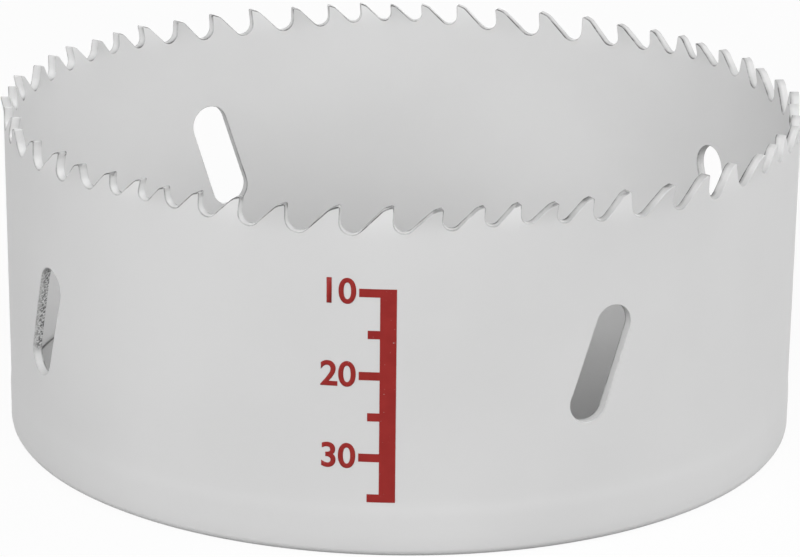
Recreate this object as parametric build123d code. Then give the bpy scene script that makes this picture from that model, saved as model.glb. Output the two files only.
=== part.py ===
from build123d import *

import os
from math import cos, radians, sin, tan

# A hole saw: a cup of toothed steel band, closed by a thick end cap that screws onto a drill arbor.
# The origin is the centre of the cap's outer face and +Z runs along the axis towards the teeth.
# Angles round the saw are degrees from -Y, anticlockwise as seen from above. Lengths are millimetres.

# The cup
OUTER_R = 50.5
WALL = 1.2
HEIGHT = 42.4
INNER_R = OUTER_R - WALL

# The band's foot, pressed over the cap, welded to it and ground round
FOOT_SWELL = 0.1
FOOT_HEIGHT = 5.0
FOOT_TAPER = 2.0
WELD_ROUND = 1.0

# The teeth: tips evenly spaced but for a few waves, which make the pitch swell and shrink round the ring
TOOTH_COUNT = 59
FIRST_TIP = -87.3
PITCH_WAVES = (  # waves a turn, swing and phase
    (1, 1.61, -19.0),
    (2, 0.35, 95.0),
    (5, 0.38, 180.0),
    (6, 0.86, 141.0),
    (7, 1.10, -45.0),
    (8, 0.32, -46.0),
)
SET = 0.45  # how far a bent tooth's tip leaves the wall
SET_CYCLE = (1, 0, -1)  # outwards, straight, inwards
TIP_LAND = 0.26

# A gullet's outline, in pitches, from a tip to the next: an undercut face, a round root, a straight
# back at 45 degrees and a shallow relief
ROOT_X = -0.045
ROOT_DEPTH = 0.86
ROOT_ROUND = 0.23
KNEE_X = 0.808
KNEE_DEPTH = 0.048
KNEE_ROUND = 0.3
GULLET_DEPTH = 0.53
GULLET_LOWEST_X = 0.23
BLANK_DEPTH = 0.64  # of the blanks the teeth are cut from

# Four slanted slots through the wall, to lever a stuck plug out, punched a little unevenly
SLOTS = (  # angle and height of the middle, length and width
    (27.5, 22.2, 14.4, 4.6),
    (119.8, 21.6, 14.6, 5.5),
    (211.6, 21.9, 15.4, 5.4),
    (301.2, 20.2, 14.9, 5.1),
)
SLOT_LEAN = 18.5

# The end cap, with a 5/8 in UNF thread drilled for tapping and four drive-pin holes
CAP_THICK = 4.0
CAP_EDGE = 0.3
THREAD_R = 7.25
THREAD_MOUTH = 0.6
PIN_CIRCLE_R = 13.5
PIN_COUNT = 4
PIN_R = 3.3
PIN_MOUTH = 0.3

CUT_REACH = 3.0  # how far a cutter passes the wall on either side
CUT_OVER = 2.0  # how far a gullet's cutter rises above the tips


def wall_plane(angle, height):
    """The plane that touches the wall's outside at an angle and a height: x is along the wall, z is outwards."""
    turn = radians(angle - 90)
    outwards = Vector(cos(turn), sin(turn), 0)
    along = Vector(-sin(turn), cos(turn), 0)
    return Plane(origin=outwards * OUTER_R + Vector(0, 0, height), x_dir=along, z_dir=outwards)


def through_wall(sketch, angle, height):
    """A cutter through the wall with a sketch's outline."""
    return extrude(wall_plane(angle, height) * sketch, CUT_REACH, both=True)


def tip_angle(tooth):
    """Where a tooth's tip stands: even spacing plus the pitch waves."""
    turn = 360 * tooth / TOOTH_COUNT
    swings = (swing * cos(radians(waves * turn - phase)) for waves, swing, phase in PITCH_WAVES)
    return FIRST_TIP + turn + sum(swings)


def pitch(tooth):
    """The distance along the tangent at a tip, from that tip to the next."""
    return OUTER_R * tan(radians(tip_angle(tooth + 1) - tip_angle(tooth)))


def root_angle(tooth):
    """The angle of the lowest point of the gullet that follows a tooth."""
    return tip_angle(tooth) + GULLET_LOWEST_X * (tip_angle(tooth + 1) - tip_angle(tooth))


def gullet_outline(tooth):
    """The gullet between a tooth and the next, with x from the tip and y from the level of the tips."""
    step = pitch(tooth)
    end = step - TIP_LAND
    cut = FilletPolyline(
        (0, 0),
        (ROOT_X * step, -ROOT_DEPTH * step),
        (KNEE_X * step, -KNEE_DEPTH * step),
        (end, 0),
        radius=[ROOT_ROUND * step, KNEE_ROUND * step],
    )
    lid = Polyline((end, 0), (end, CUT_OVER), (0, CUT_OVER), (0, 0))
    return make_face([cut, lid])


def tooth_blank(tooth, base):
    """The wall from root to root round a tooth, bent outwards or inwards above the shallower root."""
    start = root_angle(tooth - 1)
    bend = HEIGHT - GULLET_DEPTH * min(pitch(tooth - 1), pitch(tooth))
    shift = SET * SET_CYCLE[tooth % len(SET_CYCLE)]
    section = Polygon(
        (INNER_R, base),
        (OUTER_R, base),
        (OUTER_R, bend),
        (OUTER_R + shift, HEIGHT),
        (INNER_R + shift, HEIGHT),
        (INNER_R, bend),
        align=None,
    )
    blank = revolve(Plane.XZ * section, Axis.Z, root_angle(tooth) - start)
    return Rot(0, 0, start - 90) * blank


def plain_wall(top):
    """The band below the teeth, swollen where the cap is pressed in, with the ground weld's round edge."""
    foot_r = OUTER_R + FOOT_SWELL
    section = Polygon(
        (INNER_R, 0),
        (foot_r, 0),
        (foot_r, FOOT_HEIGHT),
        (OUTER_R, FOOT_HEIGHT + FOOT_TAPER),
        (OUTER_R, top),
        (INNER_R, top),
        align=None,
    )
    corner = section.vertices().sort_by_distance((foot_r, 0, 0))[0]
    return revolve(Plane.XZ * fillet(corner, WELD_ROUND), Axis.Z, 360)


def slots():
    """The cutters of the slanted slots, whose tops lean anticlockwise."""
    return [
        through_wall(SlotOverall(length, width, rotation=90 - SLOT_LEAN), angle, height)
        for angle, height, length, width in SLOTS
    ]


def saw_band():
    """The rolled band in one piece: plain wall, bent tooth blanks, and the gullets and slots cut from them."""
    teeth = range(TOOTH_COUNT)
    base = HEIGHT - BLANK_DEPTH * max(pitch(tooth) for tooth in teeth)
    band = plain_wall(base) + [tooth_blank(tooth, base) for tooth in teeth]
    band -= [through_wall(gullet_outline(tooth), tip_angle(tooth), HEIGHT) for tooth in teeth]
    return band - slots()


def round_hole(radius, mouth):
    """A cutter for a hole through the cap with a chamfered mouth at each face."""
    section = Polygon(
        (0, 0),
        (radius + mouth, 0),
        (radius, mouth),
        (radius, CAP_THICK - mouth),
        (radius + mouth, CAP_THICK),
        (0, CAP_THICK),
        align=None,
    )
    return revolve(Plane.XZ * section, Axis.Z, 360)


def end_cap():
    """The disc that closes the cup, with the arbor's thread in the middle and the drive-pin holes round it."""
    disc = Pos(0, 0, CAP_THICK / 2) * Cylinder(INNER_R, CAP_THICK)
    disc = chamfer(disc.edges().group_by(Axis.Z)[-1], CAP_EDGE)
    disc -= round_hole(THREAD_R, THREAD_MOUTH)
    pin_places = PolarLocations(PIN_CIRCLE_R, PIN_COUNT, start_angle=45)
    return disc - [place * round_hole(PIN_R, PIN_MOUTH) for place in pin_places]


os.makedirs("parts", exist_ok=True)
export_step(saw_band(), "parts/saw_band.step")
export_step(end_cap(), "parts/end_cap.step")
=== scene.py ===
from math import acos, cos, radians, sin, tan

import bmesh
import bpy
import numpy as np
from mathutils import Matrix, Vector


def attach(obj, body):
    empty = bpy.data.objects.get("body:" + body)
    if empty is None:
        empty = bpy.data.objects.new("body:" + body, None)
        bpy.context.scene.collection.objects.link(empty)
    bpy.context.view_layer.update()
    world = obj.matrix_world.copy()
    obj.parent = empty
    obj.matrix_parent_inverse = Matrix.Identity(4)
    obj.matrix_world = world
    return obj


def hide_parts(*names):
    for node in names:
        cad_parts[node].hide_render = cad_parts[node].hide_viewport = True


# A hole saw: a cup of toothed, enamelled steel band on a thick end cap.
# Lengths are millimetres until a mesh is made. Angles round the saw are degrees from -Y,
# anticlockwise as seen from above, and +Z points to the teeth.

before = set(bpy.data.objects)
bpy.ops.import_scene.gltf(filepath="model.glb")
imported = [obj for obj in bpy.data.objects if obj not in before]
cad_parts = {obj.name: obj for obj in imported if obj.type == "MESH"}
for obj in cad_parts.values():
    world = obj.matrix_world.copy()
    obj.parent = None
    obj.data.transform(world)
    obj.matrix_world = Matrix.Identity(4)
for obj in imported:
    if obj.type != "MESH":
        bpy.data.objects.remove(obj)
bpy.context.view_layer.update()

MM = 0.001

# The cup
OUTER_R = 50.5
WALL = 1.2
HEIGHT = 42.4
DEGREES_PER_MM = 1 / (OUTER_R * radians(1))
FOOT_SWELL = 0.1
FOOT_HEIGHT = 5.0
FOOT_TAPER = 2.0
FOOT_LEVELS = (2.6, 4.7, 5.2, 5.7, 6.2, 6.7, 7.3)
WELD_ROUND = 1.0
WELD_ANGLES = (-90, -68, -45, -22, 0)  # where the weld's round has its rows
SHOULDER_LEVEL = 34.8  # the row between the slots and the teeth
INNER_BREAK = 0.12  # the broken corner inside the foot
CRISP_ROW = 0.02  # how far beside a corner the row stands that keeps it crisp
INNER_FOOT_LEVELS = (4.3, INNER_BREAK)
UNDERSIDE_DEPTHS = (WALL - INNER_BREAK, WALL - INNER_BREAK - CRISP_ROW)

# The rim has eleven rows: four round its outer edge, three across its land, four round its inner edge
PAINT_ROUND = 0.1  # how round the enamel leaves a cut edge
ROUND_ANGLES = (0, 30, 60, 90)
RIM_LAND_DEPTHS = (2 * PAINT_ROUND, WALL / 2, WALL - 2 * PAINT_ROUND)
OUTER_LIP = np.array([0.4, 1, 1, 0.6, 0, 0, 0, 0, 0, 0, 0])  # the thin outer line's share of each row
CREST_LIP = np.array([0, 0, 0, 0, 0.4, 0, 0, 0, 0, 0, 0])  # what the painted shade of a dark crest adds to it
INNER_LIP = np.array([0, 0, 0, 0, 0, 0, 0.45, 1, 1, 0.7, 0.1])  # the thin inner line's share
CUT_ROWS = np.array([0, 0, 0.5, 1, 1, 1, 1, 1, 0.5, 0, 0])  # the cut face's share

# The teeth: places along a gullet are in pitches from its tip
TOOTH_COUNT = 59
FIRST_TIP = -87.3
PITCH_WAVES = (  # waves a turn, swing and phase
    (1, 1.61, -19.0),
    (2, 0.35, 95.0),
    (5, 0.38, 180.0),
    (6, 0.86, 141.0),
    (7, 1.10, -45.0),
    (8, 0.32, -46.0),
)
SET = 0.45
SET_CYCLE = (1, 0, -1)
SET_CURVE = 1.3  # the power by which the set grows from a tooth's bend to its tip
SET_LIMIT = 1.05  # the share of that height at which it stops growing
GULLET_DEPTH = 0.53
LOWEST_X = 0.23
HAND_OVER = 0.16  # the stretch round the lowest place where a tooth's values pass to the next one's
TOOTH_BASE = 38.3  # the level where the plain wall ends and the teeth begin
TOOTH_STEPS = (0, 0.25, 0.5, 0.72, 0.9)  # rows from that level to the edge
LAST_STEP_GAP = 0.14  # the last row stays this far below the edge, or a share of the way if less
LAST_STEP_SHARE = 0.08
TIP_ROUND = 0.03
GULLET_CORNERS = (  # place, radius, points on the arc
    ((0.0, 0.0), TIP_ROUND, 4),
    ((-0.045, -0.86), 0.23, 8),
    ((0.808, -0.048), 0.3, 6),
    ((0.952, 0.0), 0.06, 3),
)
BASE_LEAD = -0.3  # where a gullet's first column stands at the base

# Worn steel and painted shade go by sectors: each slope is the angle where it starts and the run it
# takes, backwards below 0
WEAR_SEED = 7
# Tips in these two sectors take more of the tip marks: worn steel and painted shade.
FRONT_TIPS = ((-66, 10), (60, -25))
BACK_LEFT_TIPS = ((-125, -20),)
LEFT_TEETH = ((5, -15), (-130, 15))
LEFT_LIMB = ((-35, -20),)
RIGHT_TEETH = ((25, 30), (150, -30))
FRONT_ROOTS = ((-80, 20), (100, -20))
FAR_TEETH = ((115, 30),)  # painted shade on the far teeth's lines; this one goes by the angle to either side
TIP_CORNER_REACH = (0.07, 0.09)
TIP_FACE_REACH = (0.15, 0.4)
TIP_FACE_SHADE = 0.3
TIP_LAND_REACH = 0.25
TIP_CHANCE = 0.3  # the share of a tip's worn steel and painted shade that differs from tooth to tooth
TIP_LEAST = 0.25  # the worn steel and painted shade of tips outside the front sector
TIP_EXTRA = 0.3
BACK_SLOPE = ((0.25, 0.25),)  # where a tooth's back begins
BACK_SHADE_PLACE = -3  # the angle where the painted shade on the teeth's backs is darkest
BACK_SHADE_SPREAD = 22
CREST_START = 0.3  # where the painted shade of a left tooth's dark crest begins, and how much later on the limb
CREST_LATER = 0.3
CREST_RUN = 0.15
OUTER_LINE = 0.65  # the outer line's darkness, and what changes it: the changes by sector are painted shade
OUTER_LESS_ON_BACK = 0.55
OUTER_MORE_BACK_SHADE = 0.2
OUTER_LESS_RIGHT = 0.7
OUTER_MORE_CREST = 1.6
OUTER_MORE_FAR = 0.6
INNER_LINE = 0.3  # the same for the inner line
INNER_MORE_PAST_TIP = 0.6
INNER_TIP_SLOPE = ((0.05, 0.1),)
INNER_LESS_LEFT = 0.85
INNER_LEFT_SLOPE = ((0.3, 0.15),)
INNER_MORE_BACK_SHADE = 0.4
INNER_MORE_FAR = 0.4
ROOT_X = 0.38  # where a root's dark spot of painted shade lies, how far it reaches, and how both change on the left
ROOT_LEFT_SHIFT = 0.08
ROOT_REACH = 0.16
ROOT_LEFT_SHORTER = 0.06
ROOT_LEAST = 0.7
ROOT_CHANCE = 1.3
ROOT_LEFT_LESS = 0.5

# The slots
SLOTS = (  # angle and height of the middle, length, width, and how torn the shears left the cut
    (27.5, 22.2, 14.4, 4.6, 0.05),
    (119.8, 21.6, 14.6, 5.5, 0.35),
    (211.6, 21.9, 15.4, 5.4, 0.0),
    (301.2, 20.2, 14.9, 5.1, 1.0),
)
SLOT_LEAN = 18.5
SLOT_DEPTHS = (0.25 * WALL, 0.5 * WALL, 0.75 * WALL)  # rows through a slot's flank
SLOT_OUTER_LINE = 0.3  # how dark the thin lines are round a slot, beside the teeth's: thin enamel with painted shade
SLOT_INNER_LINE = 0.8
# the share of painted light that a slot's flank takes as a cut face
SLOT_CUT = 0.3
TORN_FROM = -0.8  # the height, in half lengths, where the torn cut begins
TORN_RUN = 0.3
PANEL_HALF = 5.7  # a panel is the block of the wall's grid round a slot
PANEL_LEVELS = np.linspace(11.6, 31.2, 7)
PANEL_STEPS = (0.4, 0.7, 0.88, 0.965, 1)  # rings from the panel's edge to the slot

# The end cap
CAP_THICK = 4.0
CAP_R = 49.28
CAP_EDGE = 0.3
CAP_EDGE_ANGLES = (-90, -60, -30, 0)
CAP_COLUMNS = 192
THREAD_R = 7.25
THREAD_DEPTH = 0.58
THREAD_PITCH = 25.4 / 18
THREAD_FLAT = 0.125  # the share of the pitch that is flat at crest and root
THREAD_SLEEVE = 8.3
THREAD_ROWS = 73
MOUTH_EXTRA = 0.02
CAP_FACE_RADII = np.array([THREAD_SLEEVE, 8.8, 11.2, 13.5, 15.8, 18.2, 24, 32, 40, 46])
PIN_CIRCLE_R = 13.5
PIN_R = 3.3
PIN_MOUTH = 0.3
PIN_MOUTH_ANGLES = (30, 60, 90)
PIN_ANGLES = (45, 135, 225, 315)
PIN_ROWS = np.arange(1, 6)  # the block of the face's grid round a pin hole
PIN_HALF_COLUMNS = 13
PIN_STEPS = (0.45, 0.8, 0.95, 1)  # rings from the block's edge to the hole's mouth

# The printed depth scale: millimetres below the tips
PRINT_LIFT = 0.03
PRINT_FILM = 0.025
PRINT_SPAN = (-12.0, 0.0)
PRINT_SLICE = 0.4
SCALE_LINE = (-2.3, -0.4)
SCALE_BOTTOM = 6.9
SCALE_TOP = 32.9
SCALE_STROKE = 1.0
SCALE_TICKS = ((10, 2.4), (15, 1.4), (20, 2.4), (25, 1.4), (30, 2.4), (35, 1.4))
SCALE_NUMBERS = (10, 20, 30)
SCALE_NUMBER_X = -5.0
NUMBER_SIZE = 4.2
NUMBER_BOLD = 0.09
CUT_SLACK = 1e-5  # how near a cut counts as on it, and how near two points count as one
MERGE_SLACK = 1e-4

# Finishes: greys are displayed levels of 0 to 255, and a bump's height is in metres
ENAMEL = 212
CAP_ENAMEL = 202
CLOUDING = 2
# Painted light on the cut faces, then painted shade on the teeth's backs and on the faces near the tips
LIT_CUT_ENAMEL = 220
BACK_SHADE_GREY = 140
SHADED_CUT = 165
# The grey of the thin lines and tips: thin enamel and worn steel, with painted shade
DARK_LINE = 80
TORN_DARK = 125
TORN_PALE = 228
CAP_LIP = 130
# Painted shade where the cap meets the wall
JOINT_SHADE_GREY = 60
OILY_DARK = 132
OILY_PALE = 170
PINHOLE = 200
RED_DARK = (0.25, 0.014, 0.012, 1)
RED_PALE = (0.29, 0.019, 0.016, 1)
CLOUD_SCALE = 38  # how fine each pattern is, in waves to the metre
PEEL_SCALE = 900
DUST_SCALE = 2600
UNEVEN_SCALE = 600
GRAIN_SCALE = 1400
SPECK_SCALE = 4000
TURNED_SCALE = 2200
CHIP_SCALE = 420
TOOL_LINES = (600, 600, 9000)
STAIN_SCALE = 260
INK_SCALE = 500
PINHOLE_SCALE = 3000
SOFT_GLOSS = 0.25
BUMP_HEIGHT = 0.00001
THREAD_BUMP = 0.000008

# The studio: metres from the middle of the saw's foot
FLOOR_WHITE = 0.93
FLOOR_PALE = 0.85
FLOOR_GREY = 0.3
FLOOR_SIDE = 6000  # mm
FLOOR_GAP = 0.02  # mm, keeps the floor just clear of the end cap's face
HORIZON_LIGHT = 0.51
RISE = (0.3, 0.6)  # the sine of the elevation over which the surroundings go dark
LAMP_AWAY = 1.4
LAMP_WIDTH = 1.0
LAMPS = (  # azimuth from -Y, elevation, height, strength
    (0, 30, 0.6, 0.228),
    (0, 50, 0.6, 0.155),
    (-38, 28, 0.6, 0.208),
    (-62, 28, 0.6, 0.31),
    (38, 28, 0.6, 0.178),
    (88, 28, 0.6, 0.469),
    (180, 10, 0.4, 0.3),
)
CAMERA_PLACE = (-0.0000907, -0.38906, 0.14543)
CAMERA_RIGHT = (0.99994367, 0.00331217, 0.01008411)  # it looks 18 degrees down, rolled by 0.6 degrees
CAMERA_UP = (-0.01061413, 0.31203565, 0.9500111)
CAMERA_BACK = (0, -0.95006462, 0.31205323)
CAMERA_LENS = 141.93
CAMERA_SENSOR = 36
CAMERA_CLIP = (0.01, 20)


def to_mesh(name, points, faces, marks, material):
    """A mesh object from points in mm and faces, with one float attribute per mark."""
    mesh = bpy.data.meshes.new(name)
    mesh.from_pydata(points * MM, [], faces)
    for mark, values in marks.items():
        attribute = mesh.attributes.new(mark, "FLOAT", "POINT")
        attribute.data.foreach_set("value", values.astype(np.float32))
    mesh.polygons.foreach_set("use_smooth", np.ones(len(faces), bool))
    mesh.materials.append(material)
    mesh.update()
    return put_in_scene(name, mesh)


def put_in_scene(name, data):
    """An object with its data, in the scene's own collection."""
    thing = bpy.data.objects.new(name, data)
    bpy.context.scene.collection.objects.link(thing)
    return thing


class Skin:
    """A closed mesh gathered from grids of points: rows by columns, joined by quads."""

    def __init__(self, *marks):
        self.points = []
        self.quads = []
        self.count = 0
        self.marks = {mark: [] for mark in marks}

    def add(self, points, **marks):
        """Adds points of shape (rows, columns, 3) and returns their numbers, shape (rows, columns)."""
        shape = points.shape[:-1]
        numbers = self.count + np.arange(np.prod(shape)).reshape(shape)
        self.points.append(points.reshape(-1, 3))
        self.count += numbers.size
        for mark, kept in self.marks.items():
            kept.append(np.broadcast_to(marks.get(mark, 0.0), shape).ravel())
        return numbers

    def weave(self, numbers, keep=None):
        """Joins each row to the next and the last column to the first, where keep is true."""
        right = np.roll(numbers, -1, axis=1)
        quads = np.stack([numbers[:-1], right[:-1], right[1:], numbers[1:]], -1)
        self.quads.append(quads.reshape(-1, 4) if keep is None else quads[keep])

    def weave_closed(self, numbers, keep=None):
        """The same, with the last row joined to the first."""
        self.weave(np.concatenate([numbers, numbers[:1]]), keep)

    def piece(self, name, material):
        """The gathered mesh as an object."""
        marks = {mark: np.concatenate(kept) for mark, kept in self.marks.items()}
        points = np.concatenate(self.points)
        return to_mesh(name, points, np.concatenate(self.quads).tolist(), marks, material)


def around(numbers, rows, columns):
    """The values round the edge of a block of a grid, anticlockwise in columns and rows."""
    return np.concatenate([
        numbers[rows[0], columns[:-1]],
        numbers[rows[:-1], columns[-1]],
        numbers[rows[-1], columns[:0:-1]],
        numbers[rows[:0:-1], columns[0]],
    ])


def outside_block(shape, rows, columns):
    """False for each quad of a closed grid that lies in a block of it, and True elsewhere."""
    keep = np.ones(shape, bool)
    keep[min(rows):max(rows), columns[0]:columns[-1]] = False
    return keep


def smooth_step(t):
    """0 below 0, 1 above 1, and 3 t^2 - 2 t^3 between."""
    t = np.clip(t, 0, 1)
    return t * t * (3 - 2 * t)


def sector(values, slopes):
    """1 in a sector and 0 outside: the product of each slope's smooth step of (value - start) / run."""
    share = 1.0
    for start, run in slopes:
        share = share * smooth_step((values - start) / run)
    return share


def fading(distance):
    """1 in the middle and less farther off: exp(-distance^2), with the distance in reaches."""
    return np.exp(-distance ** 2)


def unit(vector):
    """The vector at length 1."""
    return vector / np.linalg.norm(vector)


# Teeth ------------------------------------------------------------------------------------------------

def tip_angles(teeth):
    """A tip's angle: the first tip's, an even share of the turn and swing times cos(n turn - phase)."""
    turn = 360 * teeth / TOOTH_COUNT
    waves = sum(swing * np.cos(np.radians(n * turn - phase)) for n, swing, phase in PITCH_WAVES)
    return FIRST_TIP + turn + waves


def arc_corner(before, corner, after, radius, count):
    """Points and inward normals on the arc that rounds a corner: centre plus radius (cos a, sin a)."""
    back = unit(before - corner)
    on = unit(after - corner)
    half = acos(np.clip(back @ on, -1, 1)) / 2
    centre = corner + unit(back + on) * radius / sin(half)
    first = corner + back * radius / tan(half) - centre
    last = corner + on * radius / tan(half) - centre
    start = np.arctan2(first[1], first[0])
    sweep = (np.arctan2(last[1], last[0]) - start + np.pi) % (2 * np.pi) - np.pi
    a = start + sweep * np.linspace(0, 1, count)
    spoke = np.stack([np.cos(a), np.sin(a)], -1)
    heading = np.sign(sweep) * np.stack([-spoke[:, 1], spoke[:, 0]], -1)
    return centre + radius * spoke, np.stack([heading[:, 1], -heading[:, 0]], -1)


def gullet_path():
    """A gullet's outline from a tip to the next in pitches, with the normals into the steel.

    Its corners are rounded by arcs, and a point is added in the middle of the back and of the face.
    """
    corners = [np.array(place) for place, _, _ in GULLET_CORNERS]
    ring = [corners[-1] - (1, 0)] + corners + [corners[0] + (1, 0)]
    arcs = [
        arc_corner(ring[i], ring[i + 1], ring[i + 2], radius, count)
        for i, (_, radius, count) in enumerate(GULLET_CORNERS)
    ]
    places = [arc[0] for arc in arcs]
    normals = [arc[1] for arc in arcs]
    for i in (1, 0):
        places.insert(i + 1, (places[i][-1:] + places[i + 1][:1]) / 2)
        normals.insert(i + 1, normals[i][-1:])
    return np.concatenate(places), np.concatenate(normals)


def per_column(per_tooth, along):
    """A value per tooth times a value per point of a gullet, for every column."""
    return (per_tooth[:, None] * along[None, :]).ravel()


def handed_over(values, x):
    """A value per tooth at each column, changing from a tooth's to the next one's across the root."""
    share = smooth_step((x - LOWEST_X) / HAND_OVER + 0.5)
    return (values[:, None] * (1 - share) + np.roll(values, -1)[:, None] * share).ravel()


class Ring:
    """The columns of the band: for each, the outline's place and normal, its base, set, worn steel and
    painted shade.
    """

    def __init__(self):
        path, normal = gullet_path()
        teeth = np.arange(TOOTH_COUNT)
        tips = tip_angles(teeth)
        step = tip_angles(teeth + 1) - tips
        pitch = OUTER_R * np.radians(step)
        self.angle = np.repeat(tips, len(path)) + per_column(step, path[:, 0])
        self.height = HEIGHT + per_column(pitch, path[:, 1])
        self.into = np.tile(normal[:, 0], TOOTH_COUNT), np.tile(normal[:, 1], TOOTH_COUNT)
        base = BASE_LEAD + np.arange(len(path)) / len(path)
        self.base_angle = tip_angles((teeth[:, None] + base).ravel())
        bend = HEIGHT - GULLET_DEPTH * np.minimum(pitch, np.roll(pitch, 1))
        swing = SET * np.array(SET_CYCLE, float)[teeth % len(SET_CYCLE)]
        self.swing = handed_over(swing, path[:, 0])
        self.bend = handed_over(bend, path[:, 0])
        self.wear(path)

    def wear(self, path):
        """How worn and shaded each column's tip is, how much painted shade its back takes, and how dark
        its crest and lines are; the crest and the lines' changes by sector are painted shade.
        """
        x = np.tile(path[:, 0], TOOTH_COUNT)
        y = np.tile(path[:, 1], TOOTH_COUNT)
        turn = (self.angle + 180) % 360 - 180
        chance = handed_over(np.random.default_rng(WEAR_SEED).random(TOOTH_COUNT), path[:, 0])
        back = sector(x, BACK_SLOPE)
        left = sector(turn, LEFT_TEETH)
        far = sector(np.abs(turn), FAR_TEETH)
        self.tip = tip_wear(x, y, turn, chance)
        # Painted shade on the backs of the front teeth.
        self.rubbed = back * fading((turn - BACK_SHADE_PLACE) / BACK_SHADE_SPREAD)
        # Painted shade along the land of the left teeth, the dark crest.
        start = CREST_START + CREST_LATER * sector(turn, LEFT_LIMB)
        self.crest = left * smooth_step((x - start) / CREST_RUN)
        # The lines are thin enamel at the edges; what changes them by sector is painted shade.
        outer = OUTER_LINE - back * (OUTER_LESS_ON_BACK - OUTER_MORE_BACK_SHADE * self.rubbed)
        outer *= 1 - OUTER_LESS_RIGHT * sector(turn, RIGHT_TEETH)
        self.outer_line = outer + OUTER_MORE_CREST * self.crest + OUTER_MORE_FAR * far
        inner = INNER_LINE + INNER_MORE_PAST_TIP * sector(x, INNER_TIP_SLOPE)
        inner *= 1 - INNER_LESS_LEFT * left * sector(x, INNER_LEFT_SLOPE)
        # Painted shade at the front teeth's roots.
        inner += root_line(x, turn, left, chance)
        self.inner_line = inner + INNER_MORE_BACK_SHADE * self.rubbed + INNER_MORE_FAR * far

    def place(self, angle, height, depth):
        """Points of the wall: the radius is the outer one, plus swell and set times lift, less depth."""
        angle, height, depth = np.broadcast_arrays(angle, height, depth)
        swell = FOOT_SWELL * smooth_step((FOOT_HEIGHT + FOOT_TAPER - height) / FOOT_TAPER)
        lift = np.clip((height - self.bend) / (HEIGHT - self.bend), 0, SET_LIMIT)
        radius = OUTER_R + swell * (1 - depth / WALL) + self.swing * lift ** SET_CURVE - depth
        a = np.radians(angle - 90)
        return np.stack([radius * np.cos(a), radius * np.sin(a), height], -1)


def tip_wear(x, y, turn, chance):
    """How much steel shows at the tip, and its painted shade: the most of fading round the corner, down
    the face and along the land. The corner is worn steel; the face and the land take painted shade.
    """
    corner = fading(np.hypot(x / TIP_CORNER_REACH[0], y / TIP_CORNER_REACH[1]))
    face = TIP_FACE_SHADE * fading(np.hypot(x / TIP_FACE_REACH[0], y / TIP_FACE_REACH[1]))
    land = fading((1 - x) / TIP_LAND_REACH)
    tip_share = TIP_LEAST + (1 - TIP_LEAST) * sector(turn, FRONT_TIPS) + TIP_EXTRA * sector(turn, BACK_LEFT_TIPS)
    return np.maximum(np.maximum(corner, face), land) * (1 - TIP_CHANCE + TIP_CHANCE * chance) * tip_share


def root_line(x, turn, left, chance):
    """Painted shade at the front teeth's roots: how much darker the inner line is there, a spot that
    fades both ways.
    """
    reach = ROOT_REACH - ROOT_LEFT_SHORTER * left
    spot = fading((x - ROOT_X + ROOT_LEFT_SHIFT * left) / reach)
    strength = (ROOT_LEAST + ROOT_CHANCE * chance) * (1 - ROOT_LEFT_LESS * left)
    return spot * sector(turn, FRONT_ROOTS) * strength


# Band -------------------------------------------------------------------------------------------------

def edge_rows(ring, angles):
    """Rows of the outline's rounded edge: it comes in by r (1 - sin a) and deepens by r (1 - cos a)."""
    a = np.radians(angles)[:, None]
    off = PAINT_ROUND * (1 - np.sin(a))
    depth = PAINT_ROUND * (1 - np.cos(a)) + 0 * ring.angle
    return ring.angle + off * ring.into[0] * DEGREES_PER_MM, ring.height + off * ring.into[1], depth


def tooth_rows(ring):
    """Rows from the tooth base up to the rounded edge: base plus a share of the way to the edge."""
    edge_angle, edge_height, _ = (row[0] for row in edge_rows(ring, ROUND_ANGLES[:1]))
    length = np.hypot((edge_angle - ring.base_angle) / DEGREES_PER_MM, edge_height - TOOTH_BASE)
    last = 1 - np.minimum(LAST_STEP_GAP / length, LAST_STEP_SHARE)
    share = np.vstack([same_along(TOOTH_STEPS, len(last)), last])
    return (
        ring.base_angle + share * (edge_angle - ring.base_angle),
        TOOTH_BASE + share * (edge_height - TOOTH_BASE),
    )


def same_along(values, count):
    """One row per value, the same all along its columns."""
    return np.repeat(np.array(values, float)[:, None], count, axis=1)


def band_rows(ring):
    """Angle, height and depth of every row: up outside, over the rim, down inside and under the foot.

    The weld's round has depth r (1 - cos a) and height r (1 + sin a).
    """
    count = len(ring.angle)
    weld = np.radians(WELD_ANGLES)
    weld_depth = WELD_ROUND * (1 - np.cos(weld))
    weld_height = WELD_ROUND * (1 + np.sin(weld))
    up = (*FOOT_LEVELS, *PANEL_LEVELS, SHOULDER_LEVEL)
    down = (SHOULDER_LEVEL, *PANEL_LEVELS[::-1], *INNER_FOOT_LEVELS)
    under = len(UNDERSIDE_DEPTHS)
    teeth_angle, teeth_height = tooth_rows(ring)
    rim_angle, rim_height, rim_depth = edge_rows(ring, ROUND_ANGLES)
    angle = np.concatenate([
        np.tile(ring.base_angle, (len(weld) + len(up), 1)), teeth_angle, rim_angle,
        np.tile(ring.angle, (len(RIM_LAND_DEPTHS), 1)),
        rim_angle[::-1], teeth_angle[::-1], np.tile(ring.base_angle, (len(down) + under, 1)),
    ])
    height = np.concatenate([
        same_along((*weld_height, *up), count), teeth_height, rim_height,
        np.tile(ring.height, (len(RIM_LAND_DEPTHS), 1)),
        rim_height[::-1], teeth_height[::-1], same_along((*down, *[0] * under), count),
    ])
    depth = np.concatenate([
        same_along((*weld_depth, *[0] * len(up)), count), 0 * teeth_angle, rim_depth,
        same_along(RIM_LAND_DEPTHS, count),
        WALL - rim_depth[::-1], WALL + 0 * teeth_angle,
        same_along((*[WALL] * len(down), *UNDERSIDE_DEPTHS), count),
    ])
    return angle, height, depth


def on_rim(shares, rows):
    """A value per row: the rim's shares on its own rows, and 0 elsewhere."""
    first = len(WELD_ANGLES) + len(FOOT_LEVELS) + len(PANEL_LEVELS) + 1 + len(TOOTH_STEPS) + 1
    return np.pad(shares, (first, rows - first - len(shares)))[:, None]


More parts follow.
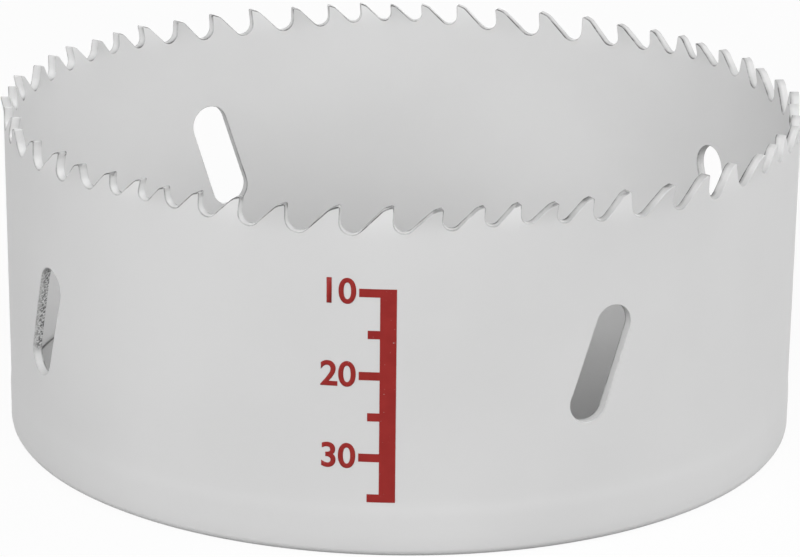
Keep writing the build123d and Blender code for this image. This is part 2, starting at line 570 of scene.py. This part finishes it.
def saw_band(material):
    """The enamelled band: one closed section carried round the ring, with the slots cut through it."""
    ring = Ring()
    skin = Skin("lip", "cut", "tip", "rubbed", "torn", "deep")
    angle, height, depth = band_rows(ring)
    rows = len(angle)
    lip = on_rim(OUTER_LIP, rows) * ring.outer_line + on_rim(INNER_LIP, rows) * ring.inner_line
    cut = on_rim(CUT_ROWS, rows)
    numbers = skin.add(
        ring.place(angle, height, depth),
        lip=lip + on_rim(CREST_LIP, rows) * ring.crest,
        cut=cut,
        tip=on_rim(np.ones(len(CUT_ROWS)), rows) * ring.tip,
        rubbed=cut * ring.rubbed,
        deep=depth / WALL,
    )
    keep = np.ones(angle.shape, bool)
    levels = np.arange(len(PANEL_LEVELS))
    outer_rows = len(WELD_ANGLES) + len(FOOT_LEVELS) + levels
    inner_rows = rows - 1 - len(UNDERSIDE_DEPTHS) - len(INNER_FOOT_LEVELS) - levels
    for slot in SLOTS:
        columns = slot_columns(ring, slot[0])
        outer_edge, inner_edge = (
            [around(grid, side, columns) for grid in (numbers, angle, height)]
            for side in (outer_rows, inner_rows)
        )
        cut_slot(skin, outer_edge, inner_edge, len(columns) - 1, slot)
        keep &= outside_block(keep.shape, outer_rows, columns)
        keep &= outside_block(keep.shape, inner_rows, columns)
    skin.weave_closed(numbers, keep)
    return skin.piece("saw_band_enamelled", material)


# Slots ------------------------------------------------------------------------------------------------

def slot_columns(ring, middle):
    """The columns of the panel round a slot's middle."""
    offset = ring.base_angle - ring.base_angle[0]
    centre = (middle - ring.base_angle[0]) % 360
    first = np.searchsorted(offset, centre - PANEL_HALF * DEGREES_PER_MM)
    last = np.searchsorted(offset, centre + PANEL_HALF * DEGREES_PER_MM)
    return np.arange(first, last + 1)


def slot_outline(length, width, grow, bottom, side):
    """An obround, grown outwards, anticlockwise from the bottom.

    Its low half circle is -half along - r (cos a across + sin a along), its right flank is
    r across + t along, and the other two are the same turned by half a turn.
    """
    lean = radians(90 - SLOT_LEAN)
    along = np.array([cos(lean), sin(lean)])
    across = np.array([sin(lean), -cos(lean)])
    r = width / 2 + grow
    half = (length - width) / 2
    a = np.linspace(0, np.pi, bottom + 1)[:-1, None]
    low = -half * along - r * (np.cos(a) * across + np.sin(a) * along)
    t = np.linspace(-half, half, side + 1)[:-1, None]
    right = r * across + t * along
    return np.concatenate([low, right, -low, -right])


def panel_rings(edge, depth, slot, outline):
    """Rings on one face in mm from a slot's middle: edge plus a share of the way to the outline."""
    middle, level = slot[:2]
    _, angle, height = edge
    swing = (angle - middle + 180) % 360 - 180
    x = (OUTER_R - depth) * np.sin(np.radians(swing))
    outer = np.stack([x, height - level], -1)
    return outer + np.array(PANEL_STEPS)[:, None, None] * (outline - outer)


def on_wall(rings, depth, slot):
    """Points of the wall from a slot's rings: x along the tangent plane stands at asin(x / radius)."""
    middle, level = slot[:2]
    r = OUTER_R - depth
    a = np.radians(middle + np.degrees(np.arcsin(rings[..., 0] / r)) - 90)
    return np.stack([r * np.cos(a), r * np.sin(a), rings[..., 1] + level], -1)


def cut_slot(skin, outer_edge, inner_edge, bottom, slot):
    """Closes the wall round one slot: rings on the outer face, through the wall and on the inner face.

    Through the wall they are the slot's outline grown by r (1 - sin a), at depth r (1 - cos a).
    """
    _, _, length, width, rough = slot
    side = len(PANEL_LEVELS) - 1
    turns = np.radians(ROUND_ANGLES[1:])
    mouth = slot_outline(length, width, PAINT_ROUND, bottom, side)
    outside = panel_rings(outer_edge, 0.0, slot, mouth)
    inside = panel_rings(inner_edge, WALL, slot, mouth)
    turn = [slot_outline(length, width, PAINT_ROUND * (1 - sin(a)), bottom, side) for a in turns]
    flank = [slot_outline(length, width, 0, bottom, side)] * len(SLOT_DEPTHS)
    rings = np.concatenate([outside, turn, flank, turn[::-1], inside[::-1]])
    steps = len(PANEL_STEPS)
    sink = PAINT_ROUND * (1 - np.cos(turns))
    depth = np.concatenate([[0.0] * steps, sink, SLOT_DEPTHS, WALL - sink[::-1], [WALL] * steps])
    depth = depth[:, None]
    lip, cut = slot_marks(len(rings), steps)
    from_middle = rings[..., 1] / (length / 2)
    torn = rough * smooth_step((from_middle - TORN_FROM) / TORN_RUN) * (cut > 0)
    numbers = skin.add(on_wall(rings, depth, slot), lip=lip, cut=cut, torn=torn, deep=depth / WALL)
    skin.weave(np.concatenate([outer_edge[0][None], numbers, inner_edge[0][None]]))


def slot_marks(count, steps):
    """How much thin dark line and how much cut face is on each ring through a slot."""
    rounds = len(ROUND_ANGLES)
    lip = np.zeros((count, 1))
    lip[steps - 1:steps - 1 + rounds, 0] = SLOT_OUTER_LINE * OUTER_LIP[:rounds]
    lip[1 - steps - rounds:1 - steps, 0] = SLOT_INNER_LINE * INNER_LIP[-rounds:]
    cut = np.zeros((count, 1))
    cut[steps + 1:-steps - 1] = SLOT_CUT
    return lip, cut


# Cap --------------------------------------------------------------------------------------------------

def polar(radius, height):
    """Rows of circles, each with its radius and height: r cos a, r sin a and h."""
    a = np.linspace(0, 2 * np.pi, CAP_COLUMNS, endpoint=False)
    r = np.asarray(radius, float)[:, None] + 0 * a
    h = np.asarray(height, float)[:, None] + 0 * a
    return np.stack([r * np.cos(a), r * np.sin(a), h], -1)


def end_cap(material):
    """The enamelled disc: circles over its faces and rim, and four drive-pin holes with broken edges.

    A rim's round comes in by e (1 - cos a) and rises by e (1 + sin a); the lower one is half as big.
    """
    skin = Skin("lip", "seam")
    quarter = np.radians(CAP_EDGE_ANGLES)
    inward = CAP_EDGE * (1 - np.cos(quarter))
    rise = CAP_EDGE * (1 + np.sin(quarter))
    face = CAP_FACE_RADII
    radius = np.concatenate([face, CAP_R - inward / 2, (CAP_R - inward)[::-1], face[::-1]])
    height = np.concatenate([0 * face, rise / 2, (CAP_THICK - rise)[::-1], CAP_THICK + 0 * face])
    points = polar(radius, height)
    rows = len(radius)
    # Painted shade along the top rim, where the cap meets the wall.
    seam = np.zeros((rows, 1))
    seam[-len(face) - len(quarter):-len(face)] = 1
    numbers = skin.add(points, seam=seam)
    keep = np.ones(numbers.shape, bool)
    high_rows = rows - 1 - PIN_ROWS
    for angle in PIN_ANGLES:
        columns = round(angle / 360 * CAP_COLUMNS) + np.arange(-PIN_HALF_COLUMNS, PIN_HALF_COLUMNS + 1)
        low_edge, high_edge = (around(numbers, side, columns) for side in (PIN_ROWS, high_rows))
        pin_hole(skin, around(points[..., :2], PIN_ROWS, columns), low_edge, high_edge, angle)
        keep &= outside_block(keep.shape, PIN_ROWS, columns)
        keep &= outside_block(keep.shape, high_rows, columns)
    skin.weave_closed(numbers, keep)
    return skin.piece("end_cap_enamelled", material)


def pin_hole(skin, edge, low_edge, high_edge, angle):
    """Closes the cap round one pin hole: rings from the block's edge to the circle, down it and out.

    The mouth's radius is the hole's plus m (1 - sin a), at depth m (1 - cos a).
    """
    centre = PIN_CIRCLE_R * np.array([cos(radians(angle)), sin(radians(angle))])
    edge = edge - centre
    spoke = edge / np.linalg.norm(edge, axis=1, keepdims=True)
    steps = np.array(PIN_STEPS)[:, None, None]
    face = edge + steps * (spoke * (PIN_R + PIN_MOUTH) - edge)
    turn = np.radians(PIN_MOUTH_ANGLES)[:, None, None]
    mouth = spoke * (PIN_R + PIN_MOUTH * (1 - np.sin(turn)))
    sink = PIN_MOUTH * (1 - np.cos(turn)) + 0 * mouth[..., :1]
    flat = 0 * face[..., :1]
    rings = np.concatenate([face, mouth, mouth[::-1], face[::-1]])
    level = np.concatenate([flat, sink, CAP_THICK - sink[::-1], CAP_THICK + flat])
    lip = np.zeros((len(rings), 1))
    lip[len(face) - 1:len(face) + len(mouth)] = 1
    lip[-len(face) - len(mouth):1 - len(face)] = 1
    numbers = skin.add(np.concatenate([rings + centre, level], -1), lip=lip)
    skin.weave(np.concatenate([low_edge[None], numbers, high_edge[None]]))


def arbor_thread(material):
    """The threaded sleeve.

    Its bore's radius follows a triangle wave of turn minus height over pitch, flat at crest and root,
    and is cut by a mouth at each face whose radius falls by as much as it deepens.
    """
    skin = Skin()
    levels = np.linspace(CAP_THICK, 0, THREAD_ROWS)[:, None]
    a = np.linspace(0, 2 * np.pi, CAP_COLUMNS, endpoint=False)
    wave = (a / (2 * np.pi) - levels / THREAD_PITCH) % 1
    ridge = np.clip((1 + 2 * THREAD_FLAT) * abs(2 * wave - 1) - THREAD_FLAT, 0, 1)
    mouth = THREAD_R + THREAD_DEPTH + MOUTH_EXTRA - np.minimum(levels, CAP_THICK - levels)
    radius = np.maximum(THREAD_R + THREAD_DEPTH * ridge, mouth)
    bore = np.stack([radius * np.cos(a), radius * np.sin(a), levels + 0 * a], -1)
    back = polar([THREAD_SLEEVE, THREAD_SLEEVE], [0, CAP_THICK])
    skin.weave_closed(skin.add(np.concatenate([bore, back])))
    return skin.piece("arbor_thread", material)


# Depth scale ------------------------------------------------------------------------------------------

def comb_outline():
    """The scale's line with its ticks as one outline, anticlockwise from the bottom right."""
    left, right = SCALE_LINE
    points = [(right, SCALE_BOTTOM), (right, SCALE_TOP)]
    for depth, reach in SCALE_TICKS:
        top = HEIGHT - depth + SCALE_STROKE / 2
        low = top - SCALE_STROKE
        points += [(left, top), (left - reach, top), (left - reach, low), (left, low)]
    return points


def slice_across(bm):
    """Cuts flat faces at even steps across, so that they can bend round the wall."""
    across = (1, 0, 0)
    for x in np.arange(*PRINT_SPAN, PRINT_SLICE):
        everything = bm.verts[:] + bm.edges[:] + bm.faces[:]
        bmesh.ops.bisect_plane(bm, geom=everything, plane_co=(x, 0, 0), plane_no=across, dist=CUT_SLACK)
    bmesh.ops.triangulate(bm, faces=bm.faces)


def add_number(bm, text, right, level):
    """A plain number as flat faces, with its right edge and its middle in place."""
    curve = bpy.data.curves.new("number", "FONT")
    curve.body = text
    curve.size = NUMBER_SIZE
    curve.offset = NUMBER_BOLD
    curve.align_x = "RIGHT"
    curve.align_y = "CENTER"
    thing = put_in_scene("number", curve)
    bpy.context.view_layer.update()
    mesh = bpy.data.meshes.new_from_object(thing)
    bpy.data.objects.remove(thing)
    bpy.data.curves.remove(curve)
    mesh.transform(Matrix.Translation((right, level, 0)))
    bm.from_mesh(mesh)
    bpy.data.meshes.remove(mesh)


def flat_scale():
    """The scale's line, ticks and numbers as one flat mesh that faces up."""
    bm = bmesh.new()
    bm.faces.new([bm.verts.new((x, z, 0)) for x, z in comb_outline()])
    for depth in SCALE_NUMBERS:
        add_number(bm, str(depth), SCALE_NUMBER_X, HEIGHT - depth)
    bmesh.ops.remove_doubles(bm, verts=bm.verts, dist=MERGE_SLACK)
    slice_across(bm)
    for face in bm.faces:
        face.normal_update()
        if face.normal.z < 0:
            face.normal_flip()
    mesh = bpy.data.meshes.new("depth_scale_print")
    bm.to_mesh(mesh)
    bm.free()
    return mesh


def depth_scale(material):
    """The printed scale, bent round the wall: its angle is x over the radius. An even film."""
    mesh = flat_scale()
    flat = np.empty(len(mesh.vertices) * 3)
    mesh.vertices.foreach_get("co", flat)
    x, height, _ = flat.reshape(-1, 3).T
    a = x / OUTER_R - np.pi / 2
    r = OUTER_R + PRINT_LIFT
    wrapped = np.stack([r * np.cos(a), r * np.sin(a), height], -1) * MM
    mesh.vertices.foreach_set("co", wrapped.ravel())
    mesh.materials.append(material)
    mesh.update()
    piece = put_in_scene("depth_scale_print", mesh)
    film = piece.modifiers.new("film", "SOLIDIFY")
    film.thickness = PRINT_FILM * MM
    film.offset = -1
    return piece


# Finishes ---------------------------------------------------------------------------------------------

class Maths:
    """A socket that can be reckoned with: + - * and their reflected forms add Math nodes."""

    def __init__(self, shop, socket):
        self.shop = shop
        self.socket = socket

    def reckon(self, operation, other, **settings):
        """A Math node on this socket and another value."""
        return self.shop.node("ShaderNodeMath", {"operation": operation, **settings}, [self, other])

    def __add__(self, other):
        return self.reckon("ADD", other)

    def __mul__(self, other):
        return self.reckon("MULTIPLY", other)

    def __sub__(self, other):
        return self.reckon("SUBTRACT", other)

    def __rsub__(self, other):
        return self * -1 + other

    __radd__ = __add__
    __rmul__ = __mul__

    def most(self, other):
        """The greater of the two."""
        return self.reckon("MAXIMUM", other)

    def held(self):
        """The value held between 0 and 1."""
        return self.reckon("ADD", 0.0, use_clamp=True)

    def between(self, low, high):
        """0 at low and below, 1 at high and above, smooth between."""
        inputs = {"Value": self, "From Min": low, "From Max": high}
        return self.shop.node("ShaderNodeMapRange", {"interpolation_type": "SMOOTHSTEP"}, inputs)


class Shop:
    """Makes one material's or world's nodes."""

    def __init__(self, owner):
        owner.use_nodes = True
        self.tree = owner.node_tree
        self.tree.nodes.clear()

    def node(self, kind, settings=None, inputs=None, output=0):
        """Adds a node: settings first, then each socket's value or link, and returns one output."""
        node = self.tree.nodes.new(kind)
        for name, value in (settings or {}).items():
            setattr(node, name, value)
        pairs = inputs.items() if isinstance(inputs, dict) else enumerate(inputs or [])
        for name, value in pairs:
            self.feed(node.inputs[name], value)
        return Maths(self, node.outputs[output]) if len(node.outputs) else None

    def feed(self, socket, value):
        """Sets a socket's value or links it."""
        if isinstance(value, Maths):
            self.tree.links.new(value.socket, socket)
        else:
            socket.default_value = value

    def place(self):
        """Object coordinates."""
        return self.node("ShaderNodeTexCoord", output="Object")

    def stretched(self, scale):
        """Object coordinates scaled by axis."""
        return self.node("ShaderNodeMapping", {}, {"Vector": self.place(), "Scale": scale})

    def mark(self, name):
        """One of the mesh's float attributes."""
        return self.node("ShaderNodeAttribute", {"attribute_name": name}, output="Fac")

    def noise(self, scale, detail, rough=0.5, where=None):
        """Noise from 0 to 1 on Object coordinates, or on those given."""
        inputs = {"Vector": where or self.place(), "Scale": scale, "Detail": detail, "Roughness": rough}
        return self.node("ShaderNodeTexNoise", {}, inputs, "Fac")

    def mix(self, share, first, second):
        """A colour between two colours: a colour Mix node's inputs are 0, 6 and 7, and its output 2."""
        return self.node("ShaderNodeMix", {"data_type": "RGBA"}, {0: share, 6: first, 7: second}, 2)

    def looked_at(self):
        """1 where the eye, a gloss or a glass looks, and 0 for the light that is given off."""
        rays = ("Is Camera Ray", "Is Glossy Ray", "Is Transmission Ray")
        eye, gloss, glass = (self.node("ShaderNodeLightPath", output=ray) for ray in rays)
        return eye.most(gloss).most(glass)

    def bump(self, height, distance=BUMP_HEIGHT):
        """A normal tilted by a height."""
        inputs = {"Height": height, "Distance": distance, "Strength": 1.0}
        return self.node("ShaderNodeBump", {}, inputs)

    def finish(self, **inputs):
        """The Principled shader with its sockets set or linked, as the material's surface."""
        names = {name.replace("_", " "): value for name, value in inputs.items()}
        shader = self.node("ShaderNodeBsdfPrincipled", {}, names)
        self.node("ShaderNodeOutputMaterial", {}, {"Surface": shader})


def grey(level):
    """A colour from a displayed level of 0 to 255, in linear light."""
    c = level / 255
    linear = c / 12.92 if c <= 0.04045 else ((c + 0.055) / 1.055) ** 2.4
    return (linear, linear, linear, 1)


def new_material(name):
    """A material and the shop that makes its nodes."""
    material = bpy.data.materials.new(name)
    return material, Shop(material)


def clouded(shop, clouds, level):
    """Enamel with faint clouding: a grey from a little darker to a little paler."""
    return shop.mix(clouds.between(0.3, 0.7), grey(level - CLOUDING), grey(level + CLOUDING))


def white_enamel():
    """Satin enamel: orange peel, faint clouding, thin dark lines along cut edges, torn shear faces;
    painted light on cut faces, painted shade on teeth's backs, lands, roots and lines.
    """
    material, shop = new_material("white_enamel")
    lip, cut, tip, rubbed, torn, deep = map(shop.mark, ("lip", "cut", "tip", "rubbed", "torn", "deep"))
    clouds = shop.noise(CLOUD_SCALE, 3)
    uneven = shop.noise(UNEVEN_SCALE, 3).between(0.35, 0.65)
    # Painted light: cut faces and slot flanks paler than the wall.
    coat = shop.mix(cut * 0.6, clouded(shop, clouds, ENAMEL), grey(LIT_CUT_ENAMEL))
    # Painted shade on the front teeth's backs, darker towards the inner edge.
    coat = shop.mix(rubbed * (0.2 + 0.35 * uneven + 0.35 * deep), coat, grey(BACK_SHADE_GREY))
    # Painted shade: cut faces greyer towards the tips.
    coat = shop.mix(cut * tip.between(0.0, 0.6) * 0.5, coat, grey(SHADED_CUT))
    # Thin dark lines: thin enamel at the edges, with painted shade where they change by sector and at
    # the roots.
    thin = (lip * (0.35 + 0.6 * uneven + 0.3 * tip)).held()
    coat = shop.mix(thin, coat, grey(DARK_LINE))
    # Worn steel at the tips' corners, with painted shade along the lands and down the faces, darker
    # towards the inner edge.
    bare_and_shade = (tip * (0.4 + shop.noise(PEEL_SCALE, 3).between(0.4, 0.65))).between(0.3, 0.8)
    coat = shop.mix(bare_and_shade * (0.5 + 0.35 * deep.between(0.4, 0.9)), coat, grey(DARK_LINE))
    sheared = torn.between(0.1, 0.8) * (0.45 + 0.55 * deep.between(0.2, 0.55))
    specks = shop.noise(SPECK_SCALE, 3, 0.6).between(0.4, 0.6)
    coat = shop.mix(sheared, coat, shop.mix(torn * specks, grey(TORN_DARK), grey(TORN_PALE)))
    grain = shop.noise(GRAIN_SCALE, 4, 0.65)
    dust = shop.noise(DUST_SCALE, 1)
    height = shop.noise(PEEL_SCALE, 2) * 0.5 + sheared * grain * 14.0 + dust * 0.1
    shop.finish(
        Base_Color=coat,
        Roughness=0.5 + 0.06 * clouds + 0.35 * sheared + 0.1 * bare_and_shade,
        Metallic=sheared * 0.25,
        Normal=shop.bump(height),
        Specular_IOR_Level=SOFT_GLOSS,
    )
    return material


def cap_enamel():
    """The same enamel over a turned disc: faint rings show through, and painted shade runs round its top
    rim where it meets the wall.
    """
    material, shop = new_material("cap_enamel")
    flat = shop.stretched((1, 1, 0))
    away = shop.node("ShaderNodeVectorMath", {"operation": "LENGTH"}, [flat], "Value")
    inputs = {"W": away, "Scale": TURNED_SCALE, "Detail": 2.0}
    rings = shop.node("ShaderNodeTexNoise", {"noise_dimensions": "1D"}, inputs, "Fac")
    coat = clouded(shop, shop.noise(CLOUD_SCALE, 3), CAP_ENAMEL)
    chips = shop.mark("lip") * shop.noise(CHIP_SCALE, 2).between(0.3, 0.7)
    coat = shop.mix(chips * 0.5, coat, grey(CAP_LIP))
    # Painted shade in the gap between the cap's top rim and the wall.
    coat = shop.mix(shop.mark("seam").between(0.9, 1.0) * 0.8, coat, grey(JOINT_SHADE_GREY))
    height = shop.noise(PEEL_SCALE, 2) * 0.5 + rings * 0.9
    shop.finish(
        Base_Color=coat,
        Roughness=0.5 + 0.08 * rings,
        Normal=shop.bump(height),
        Specular_IOR_Level=SOFT_GLOSS,
    )
    return material


def bare_steel():
    """Cut steel of the thread: fine lines round the bore, oily grey."""
    material, shop = new_material("bare_steel")
    lines = shop.noise(1.0, 2, where=shop.stretched(TOOL_LINES))
    stain = shop.noise(STAIN_SCALE, 3).between(0.3, 0.7)
    shop.finish(
        Base_Color=shop.mix(stain, grey(OILY_DARK), grey(OILY_PALE)),
        Metallic=0.9,
        Roughness=0.32 + 0.2 * lines,
        Normal=shop.bump(lines, THREAD_BUMP),
    )
    return material


def red_print():
    """Screen-printed red: slightly uneven ink with tiny pinholes."""
    material, shop = new_material("red_print")
    cover = shop.noise(INK_SCALE, 3)
    holes = shop.noise(PINHOLE_SCALE, 2).between(0.72, 0.8)
    ink = shop.mix(cover.between(0.25, 0.75), RED_DARK, RED_PALE)
    shop.finish(
        Base_Color=shop.mix(holes * 0.5, ink, grey(PINHOLE)),
        Roughness=0.45 + 0.1 * cover,
        Normal=shop.bump(cover),
        Specular_IOR_Level=SOFT_GLOSS,
    )
    return material


# Studio -----------------------------------------------------------------------------------------------

def studio_floor():
    """A pale floor that shows white and keeps a soft shadow."""
    material, shop = new_material("pale_floor")
    seen = shop.looked_at()
    tone = FLOOR_GREY + seen * (FLOOR_PALE - FLOOR_GREY)
    shade = shop.node("ShaderNodeBsdfDiffuse", {}, {"Color": tone})
    glow = shop.node("ShaderNodeEmission", {}, {"Color": (1, 1, 1, 1), "Strength": 1.0})
    look = shop.node("ShaderNodeMixShader", {}, [seen * FLOOR_WHITE, shade, glow])
    shop.node("ShaderNodeOutputMaterial", {}, {"Surface": look})
    side = FLOOR_SIDE / 2
    corners = np.array([(-side, -side), (side, -side), (side, side), (-side, side)])
    corners = np.pad(corners, ((0, 0), (0, 1)), constant_values=-FLOOR_GAP)
    floor = to_mesh("floor", corners, [(0, 1, 2, 3)], {}, material)


def studio_world():
    """White surroundings: seen as white, and as a light bright along the horizon and dark overhead."""
    world = bpy.data.worlds.new("studio")
    bpy.context.scene.world = world
    shop = Shop(world)
    way = shop.node("ShaderNodeTexCoord", output="Generated")
    rise = shop.node("ShaderNodeSeparateXYZ", {}, [way], "Z")
    light = HORIZON_LIGHT * (1 - rise.between(*RISE))
    strength = light + shop.looked_at() * (1 - light)
    glow = shop.node("ShaderNodeBackground", {}, {"Color": (1, 1, 1, 1), "Strength": strength})
    shop.node("ShaderNodeOutputWorld", {}, {"Surface": glow})


def studio_lamps():
    """Big soft lamps round the saw; at strength 1 a white sheet that faces one shows white."""
    for i, (azimuth, rise, height, strength) in enumerate(LAMPS):
        lamp = bpy.data.lights.new(f"softbox_{i}", "AREA")
        lamp.shape = "RECTANGLE"
        lamp.size = LAMP_WIDTH
        lamp.size_y = height
        lamp.energy = strength * (np.pi * LAMP_AWAY) ** 2
        turn = radians(azimuth - 90)
        level = LAMP_AWAY * cos(radians(rise))
        place = Vector((level * cos(turn), level * sin(turn), LAMP_AWAY * sin(radians(rise))))
        thing = put_in_scene(lamp.name, lamp)
        thing.location = place
        thing.rotation_euler = (-place).to_track_quat("-Z", "Y").to_euler()


def studio_camera():
    """The view: a long lens from 18 degrees above."""
    camera = bpy.data.cameras.new("camera")
    camera.sensor_width = CAMERA_SENSOR
    camera.lens = CAMERA_LENS
    camera.clip_start, camera.clip_end = CAMERA_CLIP
    thing = put_in_scene("camera", camera)
    columns = CAMERA_RIGHT, CAMERA_UP, CAMERA_BACK, CAMERA_PLACE
    thing.matrix_world = Matrix([*zip(*columns), (0, 0, 0, 1)])
    bpy.context.scene.camera = thing


def main():
    """Builds the saw, the studio and the camera."""
    pieces = (
        (saw_band(white_enamel()), "white_enamel", "saw_band"),
        (end_cap(cap_enamel()), "cap_enamel", "end_cap"),
        (arbor_thread(bare_steel()), "bare_steel", None),
        (depth_scale(red_print()), "red_print", None),
    )
    for piece, slot, node in pieces:
        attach(piece, "root")
        if node:
            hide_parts(node)
    studio_floor()
    studio_world()
    studio_lamps()
    studio_camera()
    bpy.context.scene.view_settings.view_transform = "Standard"


main()
